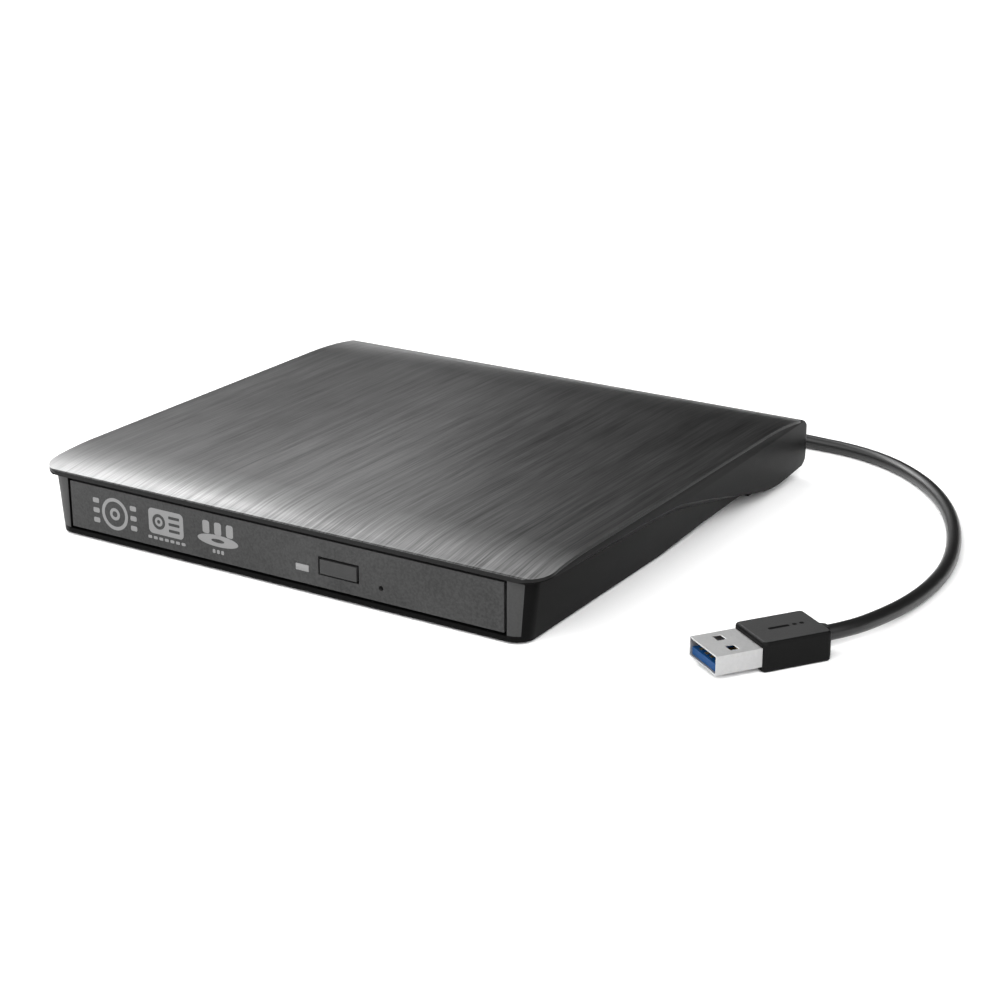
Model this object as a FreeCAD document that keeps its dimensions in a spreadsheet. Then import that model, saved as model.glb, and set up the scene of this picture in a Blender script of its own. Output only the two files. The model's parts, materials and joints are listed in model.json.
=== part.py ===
"""Slim tray-load optical drive in a USB enclosure with a captive cable.

The drawer front, the tray and the mechanism are real pieces inside a two-part plastic case.
Sizes are in millimetres.  Places are given as across (+X, to the right), back (from the
drawer front, towards +Y) and up (from the underside of the base).
"""
import FreeCAD, Part
import math
import os
import re

import Sketcher

doc = FreeCAD.newDocument("optical_drive")
Vector = FreeCAD.Vector

# ---------------------------------------------------------------- driving dimensions
sheet = doc.addObject("Spreadsheet::Sheet", "dims")
DIMENSIONS = {
    "front": -70.2,            # drawer front's outer face
    "floor": 0.6,              # underside of the base above the table, on its feet
    "lid_half": 73.6,          # half the lid's width
    "lid_top": 17.73,
    "lid_skin": 0.8,
    "lip": 0.4,                # how far the lid's lip stands in front of the drawer front
    "lip_under": 14.75,
    "roof": 15.0,              # inside of the lid frame
    "corner": 6.0,             # lid's front corners in plan
    "base_half": 69.0,
    "base_wall": 2.0,
    "base_floor": 1.25,
    "base_depth": 113.0,
    "base_corner": 4.5,
    "lid_rear": 141.1,
    "rear_corner": 2.5,        # roll's rear corners in plan
    "roll_back": 133.6,        # centre of the roll along the back
    "roll_up": 9.1,
    "roll_radius": 7.25,
    "groove_half": 63.9,       # cable stowage groove in the roll
    "groove_front": 131.1,
    "groove_low": 3.3,
    "groove_high": 11.3,
    "liner_wall": 1.1,
    "drive_half": 64.0,
    "drive_low": 1.65,
    "drive_high": 14.35,
    "drive_back": 126.1,
    "sheet_metal": 0.5,
    "bezel_height": 12.5,
    "bezel_thick": 2.0,
    "hub_back": 64.5,          # disc centre behind the drawer front
    "hub_radius": 7.4,
    "disc_well": 60.6,
    "tray_half": 61.3,
    "rod_radius": 1.0,
    "rod_across": 13.8,
    "rod_up": 5.0,
    "screw_across": 17.4,
    "cable_radius": 1.85,
    "shell_width": 12.0,
    "shell_height": 4.5,
}
for row, (word, value) in enumerate(DIMENSIONS.items(), start=1):
    sheet.set(f"A{row}", word)
    sheet.set(f"B{row}", str(value))
    sheet.setAlias(f"B{row}", word)
doc.recompute()
D = DIMENSIONS


def formula(text):
    """A formula over the sheet's words, such as 'front + 3'."""
    return re.sub(r"[a-z]\w*", lambda word: "dims." + word.group(), str(text))


def bind(thing, **sizes):
    for name, value in sizes.items():
        thing.setExpression(name, formula(value))


def put(thing, across=0, back=0, up=0):
    """Place a piece by across, back and up."""
    thing.setExpression("Placement.Base.x", formula(across))
    thing.setExpression("Placement.Base.y", formula(f"front + ({back})"))
    thing.setExpression("Placement.Base.z", formula(f"floor + ({up})"))
    return thing


def box(name, low, size):
    piece = doc.addObject("Part::Box", name)
    bind(piece, Length=size[0], Width=size[1], Height=size[2])
    return put(piece, *low)


def block(name, across, back, up):
    """Box between (low, high) limits in the three directions."""
    low = (across[0], back[0], up[0])
    size = [f"({pair[1]}) - ({pair[0]})" for pair in (across, back, up)]
    return box(name, low, size)


def cylinder(name, centre, radius, height, axis="z", radius_end=None):
    kind = "Part::Cylinder" if radius_end is None else "Part::Cone"
    piece = doc.addObject(kind, name)
    if radius_end is None:
        bind(piece, Radius=radius, Height=height)
    else:
        bind(piece, Radius1=radius, Radius2=radius_end, Height=height)
    turn = {"z": (Vector(0, 0, 1), 0), "y": (Vector(1, 0, 0), -90), "x": (Vector(0, 1, 0), 90)}
    piece.Placement = FreeCAD.Placement(Vector(), FreeCAD.Rotation(*turn[axis]))
    return put(piece, *centre)


def union(name, pieces):
    piece = doc.addObject("Part::MultiFuse", name)
    piece.Shapes = pieces
    return piece


def cut(name, base, *tools):
    piece = doc.addObject("Part::Cut", name)
    piece.Base = base
    piece.Tool = tools[0] if len(tools) == 1 else union(name + "_tools", list(tools))
    return piece


def common(name, first, second):
    piece = doc.addObject("Part::Common", name)
    piece.Base = first
    piece.Tool = second
    return piece


def group(name, pieces):
    """Several separate solids in one sub-part."""
    piece = doc.addObject("Part::Compound", name)
    piece.Links = pieces
    return piece


def plane_of(body, role):
    return [item for item in body.Origin.OriginFeatures if item.Role == role][0]


def outline(sketch, points):
    """Closed outline through points (a, b); (a, b, mid_a, mid_b) reaches its point on an arc."""
    def value(entry):
        return number_of(entry) if isinstance(entry, str) else entry

    spots = [Vector(value(point[0]), value(point[1]), 0) for point in points]
    ends = []
    for number, point in enumerate(points):
        start, end = spots[number - 1], spots[number]
        if len(point) == 4:
            middle = Vector(value(point[2]), value(point[3]), 0)
            forward = (middle - start).cross(end - middle).z > 0
            arc = Part.Arc(start, middle, end) if forward else Part.Arc(end, middle, start)
            index = sketch.addGeometry(arc)
            ends.append((index, 1, 2) if forward else (index, 2, 1))
            sketch.addConstraint(Sketcher.Constraint("Radius", index, sketch.Geometry[index].Radius))
        else:
            index = sketch.addGeometry(Part.LineSegment(start, end))
            ends.append((index, 1, 2))
    for number, point in enumerate(points):
        index, _, last = ends[number]
        following, first, _ = ends[(number + 1) % len(points)]
        sketch.addConstraint(Sketcher.Constraint("Coincident", index, last, following, first))
        for kind, entry in (("DistanceX", point[0]), ("DistanceY", point[1])):
            constraint = sketch.addConstraint(
                Sketcher.Constraint(kind, -1, 1, index, last, value(entry)))
            if isinstance(entry, str):
                sketch.setExpression(f"Constraints[{constraint}]", formula(entry))


def number_of(text):
    """A formula's number, worked out by the sheet, for an outline's first shape."""
    spare_cell = f"A{len(DIMENSIONS) + 2}"
    sheet.set(spare_cell, "=" + text)
    sheet.recompute()
    return float(sheet.get(spare_cell))


def prism(name, plane, points, length, offset=0, symmetric=True, seated=True):
    """Body padded from an outline in one of its own origin planes, seated at the drawer front."""
    body = doc.addObject("PartDesign::Body", name)
    sketch = body.newObject("Sketcher::SketchObject", name + "_sketch")
    sketch.AttachmentSupport = [(plane_of(body, plane), "")]
    sketch.MapMode = "FlatFace"
    sketch.AttachmentOffset = FreeCAD.Placement(Vector(0, 0, offset), FreeCAD.Rotation())
    outline(sketch, points)
    pad = body.newObject("PartDesign::Pad", name + "_pad")
    pad.Profile = sketch
    pad.Midplane = symmetric
    bind(pad, Length=length)
    return put(body) if seated else body


# ---------------------------------------------------------------- case
SCREW_PLACES = [(-65.7, 9.0), (65.7, 9.0), (-65.7, 60.0), (65.7, 60.0)]
FOOT_PLACES = [(-56.0, 12.0), (56.0, 12.0), (-56.0, 100.0), (56.0, 100.0)]
GLAND_ACROSS = 36.0
GLAND_UP = 7.3


def roll_point(degrees):
    """Point (back, up) on the roll's round, by its angle above the horizontal."""
    angle = math.radians(degrees)
    radius = D["roll_radius"]
    return (D["roll_back"] + radius * math.cos(angle), D["roll_up"] + radius * math.sin(angle))


ROLL_TOP = roll_point(80.6)
ROLL_LOW = roll_point(-80)
ROLL_REAR = roll_point(0)
ROLL_SLOPE = (124.4, 17.38)    # a point of the slope from the flat lid down to the roll


def lid_line(drop=0):
    """Points of the lid's top line from its front lip to the roll, lowered by drop."""
    return [
        ("-lip", f"15.6 - {drop}"),
        (0.3, f"16.1 - {drop}", -0.2, 15.95 - drop),
        (7.3, f"17.1 - {drop}"),
        (18.6, f"lid_top - {drop}", 12.6, 17.5 - drop),
        (114.0, f"lid_top - {drop}"),
    ]


def make_plan(name, low, high):
    """Plan outline of the lid with its rounded front and rear corners."""
    half, front_line = D["lid_half"], -D["lip"]
    front_away = D["corner"] * (1 - math.sqrt(0.5))
    rear_away = D["rear_corner"] * (1 - math.sqrt(0.5))
    rear_line = D["lid_rear"]
    points = [
        ("rear_corner - lid_half", "lid_rear"),
        ("-lid_half", "lid_rear - rear_corner", rear_away - half, rear_line - rear_away),
        ("-lid_half", "corner - lip"),
        ("corner - lid_half", "-lip", front_away - half, front_line + front_away),
        ("lid_half - corner", "-lip"),
        ("lid_half", "corner - lip", half - front_away, front_line + front_away),
        ("lid_half", "lid_rear - rear_corner"),
        ("lid_half - rear_corner", "lid_rear", half - rear_away, rear_line - rear_away),
    ]
    return prism(name, "XY_Plane", points, high - low, offset=low, symmetric=False)


def side_cutter(name, side):
    """What the lid frame lacks below its slanting side bands: a loft along the depth."""
    stations = [(-3, 14.7, 15.6), (4, 14.4, 15.9), (10, 12.8, 16.0), (14, 12.2, 16.0), (45, 10.4, 16.0),
                (66, 9.8, 14.6), (77, 8.3, 12.0), (89, 6.1, 9.0), (99, 4.2, 6.2), (108, 2.4, 4.0),
                (114, 1.6, 2.5), (118, 1.3, 2.0), (123, 1.1, 1.8), (128, 1.4, 2.1), (132, 1.6, 2.5),
                (137, 1.9, 2.9)]
    sections = []
    for number, (back, crease, edge) in enumerate(stations):
        across = (D["base_half"] + 0.15, D["lid_half"] + 1)
        corners = [(across[0], crease), (across[1], edge), (across[1], -3), (across[0], -3)][::side]
        line = doc.addObject("Part::Polygon", f"{name}_{number}")
        line.Nodes = [Vector(side * x, back, z) for x, z in corners]
        line.Close = True
        sections.append(line)
    loft = doc.addObject("Part::Loft", name)
    loft.Sections = sections
    loft.Solid = True
    loft.Ruled = True
    return put(loft)


def make_top_panel():
    """Brushed skin over the lid, from the front lip to the top of the roll."""
    upper = lid_line() + [(*ROLL_TOP, *ROLL_SLOPE)]
    skin = D["lid_skin"]
    lower = [(ROLL_TOP[0], ROLL_TOP[1] - skin),
             (114.0, f"lid_top - {skin}", ROLL_SLOPE[0], ROLL_SLOPE[1] - skin)]
    lower += [(18.6, f"lid_top - {skin}"), (7.3, f"17.1 - {skin}", 12.6, 17.5 - skin),
              (0.3, f"16.1 - {skin}"), ("-lip", f"15.6 - {skin}", -0.2, 15.95 - skin)]
    blank = prism("lid_skin_blank", "YZ_Plane", upper + lower, "2 * lid_half")
    return common("top_panel", blank, make_plan("lid_skin_plan", 10, 20))


def make_upper_frame(panel):
    """Lid frame: lip, roof, side bands and the roll along the back, over the drive."""
    points = lid_line() + [
        (*ROLL_TOP, *ROLL_SLOPE),
        (ROLL_LOW[0], ROLL_LOW[1], ROLL_REAR[0], ROLL_REAR[1]),
        (125.0, 0.4, 129.94, 1.135),
        ("-lip", 0.1),
    ]
    blank = prism("frame_blank", "YZ_Plane", points, "2 * lid_half")
    rounded = common("frame_rounded", blank, make_plan("frame_plan", -2, 20))
    tools = [
        panel,
        block("frame_cavity", ("-base_half - 0.15", "base_half + 0.15"), (2.3, "base_depth + 0.25"),
              (-1, "roof")),
        block("frame_mouth", ("-base_half - 0.15", "base_half + 0.15"), (-3, 2.4), (-1, "lip_under")),
        block("frame_rear_bay", (-66.9, 66.9), (110, 126.5), (1.4, "roof")),
        block("frame_board_bay", (-66.9, 66.9), (126.4, 129.9), (2.3, "roof")),
        block("frame_roll_bay", (-66, 66), (129, 136), (13.3, 14.9)),
        block("frame_liner_seat", ("-groove_half - liner_wall - 0.1", "groove_half + liner_wall + 0.1"),
              ("groove_front - liner_wall - 0.1", 150),
              ("groove_low - liner_wall - 0.1", "groove_high + liner_wall + 0.1")),
        side_cutter("band_cut_right", 1),
        side_cutter("band_cut_left", -1),
    ]
    return cut("upper_frame", rounded, *tools)


def make_cable_channel():
    """C-shaped liner of the stowage groove, with the hole for the cable gland."""
    shell = block("channel_shell", ("-groove_half - liner_wall", "groove_half + liner_wall"),
                  ("groove_front - liner_wall", 146),
                  ("groove_low - liner_wall", "groove_high + liner_wall"))
    roll = cylinder("channel_roll", ("-groove_half - liner_wall", "roll_back", "roll_up"),
                    "roll_radius - 0.05", "2 * (groove_half + liner_wall)", axis="x")
    body = block("channel_body", ("-groove_half - liner_wall", "groove_half + liner_wall"),
                 ("groove_front - liner_wall", "roll_back"),
                 ("groove_low - liner_wall", "groove_high + liner_wall"))
    trimmed = common("channel_trimmed", shell, union("channel_round", [roll, body]))
    groove = block("channel_groove", ("-groove_half", "groove_half"), ("groove_front", 150),
                   ("groove_low", "groove_high"))
    hole = cylinder("channel_hole", (GLAND_ACROSS, "groove_front - 3", GLAND_UP), 2.7, 6, axis="y")
    return cut("cable_channel", trimmed, groove, hole)


def make_base_shell():
    """Lower tub: floor, side walls and the frame round the drawer front."""
    half, corner = D["base_half"], D["base_corner"]
    away = corner * (1 - math.sqrt(0.5))
    plan = [
        ("-base_half", "base_depth"),
        ("-base_half", "base_corner"),
        ("base_corner - base_half", 0.0, -(half - away), away),
        ("base_half - base_corner", 0.0),
        ("base_half", "base_corner", half - away, away),
        ("base_half", "base_depth"),
    ]
    blank = prism("base_blank", "XY_Plane", plan, "lip_under - 0.15", symmetric=False)
    inner = "base_half - base_wall"
    rise = [(64.0, -1.0), (64.0, 0.0), (86.0, 1.3), (113.5, 2.2), (113.5, -1.0)]
    tools = [
        block("base_room", (f"-({inner})", inner), (4.0, "base_depth + 1"), ("base_floor", 20)),
        block("base_mouth", (-64.5, 64.5), (-1, 5), ("base_floor", 20)),
    ]
    for side, across in (("right", 66.6), ("left", -69.6)):
        tools.append(prism(f"base_rise_{side}", "YZ_Plane", rise, 3, offset=across, symmetric=False))
    for number, (across, back) in enumerate(SCREW_PLACES):
        tools.append(cylinder(f"base_screw_hole_{number}", (across, back, -1), 1.2, 4))
    return cut("base_shell", blank, *tools)


def make_feet():
    feet = [cylinder(f"foot_{number}", (across, back, "-floor"), 4.0, "floor")
            for number, (across, back) in enumerate(FOOT_PLACES)]
    return group("rubber_feet", feet)


def make_case_screws():
    screws = []
    for number, (across, back) in enumerate(SCREW_PLACES):
        head = cylinder(f"case_head_{number}", (across, back, 0.1), 1.15, 0.9)
        shank = cylinder(f"case_shank_{number}", (across, back, 0.9), 0.75, 2.2)
        screws.append(union(f"case_screw_{number}", [head, shank]))
    return group("case_screws", screws)


# ---------------------------------------------------------------- rear electronics and gland
def make_bridge_board():
    return block("bridge_board", (2, 64), (127.3, 128.3), (2.6, 13.2))


def make_bridge_chips():
    controller = block("bridge_controller", (12, 19), (128.3, 129.2), (4.5, 11.5))
    memory = block("bridge_memory", (23, 28), (128.3, 129.1), (6, 10))
    crystal = block("bridge_crystal", (30, 32.2), (128.3, 129.3), (9.5, 12.6))
    coil = block("bridge_coil", (52, 56), (128.3, 129.5), (5, 9))
    return group("bridge_chips", [controller, memory, crystal, coil])


def make_bridge_plug():
    """Slimline SATA plug on the bridge board, reaching into the drive's socket."""
    body = block("plug_block", (11, 35), (126.35, 127.3), (4.0, 9.0))
    tongue = block("plug_tongue_bar", (13.4, 32.6), (122.4, 126.4), (6.1, 7.1))
    return union("bridge_plug", [body, tongue])


def make_sata_socket():
    shell = block("socket_shell", (12, 34), (121.0, 126.0), (4.3, 8.7))
    slot = block("socket_slot", (13.2, 32.8), (122.2, 127.0), (5.9, 7.3))
    return cut("sata_socket", shell, slot)


def make_inner_wires():
    wires = [block(f"wire_{number}", (34.7 + 0.7 * number, 35.2 + 0.7 * number), (128.3, 129.75),
                   (7.0, 7.6)) for number in range(4)]
    return group("inner_wires", wires)


def make_cable_gland():
    """Rubber strain relief: a flange and neck in the liner's wall and a tapered boot outside."""
    flange = cylinder("gland_flange", (GLAND_ACROSS, 129.76, GLAND_UP), 2.6, 1.45, axis="y")
    boot = cylinder("gland_boot", (GLAND_ACROSS, 131.2, GLAND_UP), 3.6, 6.3, axis="y", radius_end=2.5)
    return union("cable_gland", [flange, boot])


# ---------------------------------------------------------------- cable and plug
# Centre line of the cable, millimetres from the drawer front and the base's underside.
ROUTE = [
    (36.0, 137.5, 7.3), (36.0, 145.2, 7.0), (39.8, 152.2, 5.6), (46.6, 156.9, 3.7), (55.5, 159.4, 2.2),
    (66.0, 160.4, 1.4), (79.0, 159.9, 1.3), (91.5, 155.7, 1.3), (103.5, 147.3, 1.3), (114.3, 135.3, 1.3),
    (123.2, 120.3, 1.3), (129.9, 103.0, 1.3), (133.2, 88.5, 1.3), (134.1, 75.0, 1.4), (133.3, 62.0, 1.7),
    (131.4, 50.5, 2.3), (129.0, 41.0, 2.9), (125.6, 35.5, 3.0),
]
PLUG_TURN = 55.5               # plug's long axis, degrees from +X


def cable_path():
    """Runs joined by the largest tangent arcs that fit, as one wire, and its arcs' radii."""
    corners = [Vector(x, y + D["front"], z + D["floor"]) for x, y, z in ROUTE]
    edges, radii, place = [], [], corners[0]
    for before, corner, after in zip(corners, corners[1:], corners[2:]):
        run_in, run_out = corner - before, after - corner
        turn = run_in.getAngle(run_out)
        trim = 0.45 * min(run_in.Length, run_out.Length)
        radius = trim / math.tan(turn / 2)
        first = corner - run_in.normalize() * trim
        last = corner + run_out.normalize() * trim
        inward = (first + last) * 0.5 - corner
        sagitta = corner + inward.normalize() * (radius / math.cos(turn / 2) - radius)
        edges += [Part.LineSegment(place, first).toShape(), Part.Arc(first, sagitta, last).toShape()]
        radii.append(round(radius, 1))
        place = last
    edges.append(Part.LineSegment(place, corners[-1]).toShape())
    return Part.Wire(edges), radii


def make_usb_cable():
    path, radii = cable_path()
    start = path.Edges[0]
    disc = Part.Circle(start.valueAt(start.FirstParameter), start.tangentAt(start.FirstParameter),
                       D["cable_radius"])
    tube = path.makePipeShell([Part.Wire(disc.toShape())], True, False)
    expected = math.pi * D["cable_radius"] ** 2 * path.Length
    print("cable length", round(path.Length, 1), "arc radii", radii)
    print("cable volume over section times length", round(tube.Volume / expected, 4))
    cable = doc.addObject("Part::Feature", "usb_cable")
    cable.Shape = tube
    cable.Placement = FreeCAD.Placement()
    return cable


def plug_part(piece):
    """Turn a plug piece, drawn with its axis along +X from the cable's end, into its place."""
    end = ROUTE[-1]
    piece.Placement = FreeCAD.Placement(Vector(), FreeCAD.Rotation(Vector(0, 0, 1), PLUG_TURN + 180))
    return put(piece, *end)


def local_block(name, along, across, up):
    """Box in the plug's own axes."""
    piece = doc.addObject("Part::Box", name)
    size = [f"({pair[1]}) - ({pair[0]})" for pair in (along, across, up)]
    bind(piece, Length=size[0], Width=size[1], Height=size[2])
    piece.setExpression("Placement.Base.x", formula(along[0]))
    piece.setExpression("Placement.Base.y", formula(across[0]))
    piece.setExpression("Placement.Base.z", formula(up[0]))
    return piece


SHELL_START, SHELL_END = 19.7, 31.0
MOULD_HALF, MOULD_RISE = 6.7, 3.6


def make_plug():
    """USB-A plug at the cable's end: moulded grip, metal shell, tongue and contacts."""
    grip = local_block("grip_block", (2.2, SHELL_START), (-MOULD_HALF, MOULD_HALF),
                       (-MOULD_RISE, MOULD_RISE))
    neck = doc.addObject("Part::Cone", "grip_neck")
    bind(neck, Radius1="cable_radius + 0.5", Radius2="cable_radius + 1.5", Height=2.3)
    neck.Placement = FreeCAD.Placement(Vector(), FreeCAD.Rotation(Vector(0, 1, 0), 90))
    seat = local_block("grip_seat", (SHELL_START - 4.0, SHELL_START + 1),
                       ("-shell_width / 2", "shell_width / 2"), ("-shell_height / 2", "shell_height / 2"))
    grip_body = cut("plug_overmold", union("grip_whole", [grip, neck]), seat)
    outer = local_block("shell_outer", (SHELL_START - 4.0, SHELL_END),
                        ("-shell_width / 2", "shell_width / 2"), ("-shell_height / 2", "shell_height / 2"))
    inner = local_block("shell_inner", (SHELL_START - 5.0, SHELL_END + 1),
                        ("0.3 - shell_width / 2", "shell_width / 2 - 0.3"),
                        ("0.3 - shell_height / 2", "shell_height / 2 - 0.3"))
    holes = [local_block(f"shell_hole_{number}", (SHELL_END - 6.6, SHELL_END - 4.6),
                         (side - 1.25, side + 1.25), (-4, 4)) for number, side in enumerate((-2.8, 2.8))]
    shell = cut("plug_shell", outer, inner, *holes)
    tongue = group("plug_tongue", [local_block("tongue_bar", (SHELL_START - 4.0, SHELL_END - 0.6),
                                               ("0.35 - shell_width / 2", "shell_width / 2 - 0.35"),
                                               (-1.9, -0.1))])
    pins = [local_block(f"pin_{number}", (SHELL_START, SHELL_END - 1.4), (y - 0.5, y + 0.5), (-0.1, 0.05))
            for number, y in enumerate((-3.5, -1.0, 1.0, 3.5))]
    contacts = group("plug_contacts", pins)
    return [plug_part(piece) for piece in (grip_body, shell, tongue, contacts)]


# ---------------------------------------------------------------- drive: fixed pieces
def make_drive_pan():
    """Steel pan of the drive: floor, side walls and a rear wall with the socket's opening."""
    outer = block("pan_outer", ("-drive_half", "drive_half"), (3.0, "drive_back"), ("drive_low", 13.85))
    room = block("pan_room", ("sheet_metal - drive_half", "drive_half - sheet_metal"),
                 (2.0, "drive_back - sheet_metal"), ("drive_low + sheet_metal", 20))
    opening = block("pan_opening", (9.5, 36.5), (120, 130), (3.8, 9.4))
    return cut("drive_pan", outer, room, opening)


def make_drive_lid():
    plate = block("lid_plate", ("-drive_half", "drive_half"), (3.0, "drive_back"), (13.9, "drive_high"))
    dome = cylinder("lid_dome", (0, "hub_back", 14.3), 13.0, 0.35)
    ribs = [block(f"lid_rib_{number}", (x - 2, x + 2), (15, 110), (14.3, 14.6))
            for number, x in enumerate((-48, 48))]
    return union("drive_lid", [plate, dome] + ribs)


def make_drive_screws():
    screws = []
    for number, (across, back) in enumerate([(-58, 120), (58, 120), (-58, 6.2), (58, 6.2)]):
        screws.append(cylinder(f"drive_screw_{number}", (across, back, 14.36), 1.6, 0.3))
    return group("drive_screws", screws)


def make_rail_guide(side):
    """Plastic channel on the pan's side wall that holds one steel rail."""
    name = "rail_guide_right" if side > 0 else "rail_guide_left"
    pair = sorted((61.7 * side, 63.45 * side))
    slot_pair = sorted((61.0 * side, 62.8 * side))
    body = block(name + "_body", tuple(pair), (8, 120), (3.6, 9.6))
    slot = block(name + "_slot", tuple(slot_pair), (7, 121), (4.8, 8.6))
    return cut(name, body, slot)


def make_rail(side):
    name = "rail_right" if side > 0 else "rail_left"
    return block(name, tuple(sorted((60.65 * side, 62.6 * side))), (10, 116), (5.0, 8.4))


def make_main_board():
    return block("main_board", (-57, 57), (99.5, 124.5), (2.8, 3.6))


def make_board_chips():
    chips = [
        block("servo_chip", (-34, -20), (103, 117), (3.6, 4.8)),
        block("motor_chip", (-10, -1), (106, 115), (3.6, 4.7)),
        block("flash_chip", (40, 45), (104, 110), (3.6, 4.6)),
        block("capacitor", (49, 53), (113, 117), (3.6, 4.9)),
    ]
    return group("main_board_chips", chips)


def make_flex_connector():
    return block("flex_connector", (4, 30), (101.2, 104.2), (3.6, 4.8))


def make_flex_cable():
    """Flat cable: one fold, the lower run to the main board and the upper run to the tray."""
    lower = block("flex_lower", (5, 29), (40.15, 99.3), (2.22, 2.32))
    fold = block("flex_fold", (5, 29), (40.0, 40.2), (2.22, 2.62))
    upper = block("flex_upper", (5, 29), (40.15, 96.0), (2.52, 2.62))
    return union("flex_cable", [lower, fold, upper])


def make_latch_post():
    return cylinder("latch_post", (44.0, 33.0, "drive_low + sheet_metal"), 0.9, 3.4)


# ---------------------------------------------------------------- tray
def deck_place(piece):
    """Seat a mechanism piece: drawn about the spindle with the pickup's travel along +X."""
    if piece.TypeId in ("Part::Box", "Part::Cylinder"):
        piece = group(piece.Name + "_seated", [piece])
    piece.Placement = FreeCAD.Placement(Vector(), FreeCAD.Rotation(Vector(0, 0, 1), 225))
    return put(piece, 0, "hub_back", 0)


def deck_block(name, along, across, up):
    piece = doc.addObject("Part::Box", name)
    size = [f"({pair[1]}) - ({pair[0]})" for pair in (along, across, up)]
    bind(piece, Length=size[0], Width=size[1], Height=size[2])
    piece.setExpression("Placement.Base.x", formula(along[0]))
    piece.setExpression("Placement.Base.y", formula(across[0]))
    piece.setExpression("Placement.Base.z", formula(up[0]))
    return piece


def deck_cylinder(name, centre, radius, height, along=False, radius_end=None):
    piece = doc.addObject("Part::Cylinder" if radius_end is None else "Part::Cone", name)
    if radius_end is None:
        bind(piece, Radius=radius, Height=height)
    else:
        bind(piece, Radius1=radius, Radius2=radius_end, Height=height)
    turn = FreeCAD.Rotation(Vector(0, 1, 0), 90 if along else 0)
    piece.Placement = FreeCAD.Placement(Vector(), turn)
    piece.setExpression("Placement.Base.x", formula(centre[0]))
    piece.setExpression("Placement.Base.y", formula(centre[1]))
    piece.setExpression("Placement.Base.z", formula(centre[2]))
    return piece


BUSH_PLACES = [(-12.5, -15.0), (-14.6, 10.0), (45.0, -17.6)]
TRAY_SCREWS = [(-53.0, 112.0), (53.0, 112.0), (53.0, 12.0)]


def make_tray():
    """Disc tray: rim with the disc well, floor with the mechanism's opening, grooved sides."""
    body = block("tray_body", ("-tray_half", "tray_half"), (2.2, 121.0), (4.2, 12.2))
    well = cylinder("tray_well", (0, "hub_back", 9.3), "disc_well", 6)
    small_well = cylinder("tray_small_well", (0, "hub_back", 8.9), 40.4, 6)
    under = block("tray_under", (-58.3, 58.3), (5.0, 122.0), (3, 8.1))
    hub = deck_place(deck_cylinder("tray_hub", (0, 0, 5), 14.0, 9))
    window = deck_place(deck_block("tray_window", (0, 66), (-13.0, 13.0), (5, 12)))
    grooves = [block(f"tray_groove_{name}", across, (1.0, 130.0), (4.8, 8.6))
               for name, across in (("right", (60.4, 63.0)), ("left", (-63.0, -60.4)))]
    board_room = block("tray_board_room", (-1, 40), (1.0, 5.5), (3.0, 7.2))
    holes = [deck_place(deck_cylinder(f"tray_bush_hole_{number}", (x, y, 7.5), 1.0, 4))
             for number, (x, y) in enumerate(BUSH_PLACES)]
    thumb = block("tray_thumb", (-14, 14), (115, 125), (9.3, 14))
    button_room = block("tray_button_room", (12.1, 25.1), (2.0, 4.2), (4.0, 10.1))
    return cut("tray", body, well, small_well, under, hub, window, board_room, button_room, thumb,
               *grooves, *holes)


def make_tray_bezel():
    plate = block("bezel_plate", ("-drive_half", "drive_half"), (0, "bezel_thick"),
                  (1.75, "1.75 + bezel_height"))
    button = block("bezel_button_hole", (12.75, 24.45), (-1, 3), (4.95, 9.7))
    led = block("bezel_led_hole", (6.0, 10.0), (-1, 3), (4.9, 6.75))
    pin = cylinder("bezel_pin_hole", (30.6, -1, 5.25), 0.65, 4, axis="y")
    return cut("tray_bezel", plate, button, led, pin)


def make_under_plate():
    """Thin steel cover under the tray."""
    plate = block("under_plate", (-58.0, 58.0), (5.4, 97.0), (2.8, 3.1))
    lever_slot = block("under_lever_slot", (40.5, 55.5), (15, 38), (2, 4))
    post_slot = block("under_post_slot", (42.3, 45.7), (30, 100), (2, 4))
    return cut("tray_under_plate", plate, lever_slot, post_slot)


def make_tray_screws():
    screws = [cylinder(f"tray_screw_{number}", (across, back, 6.6), 1.5, 1.45)
              for number, (across, back) in enumerate(TRAY_SCREWS)]
    return group("tray_screws", screws)


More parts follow.
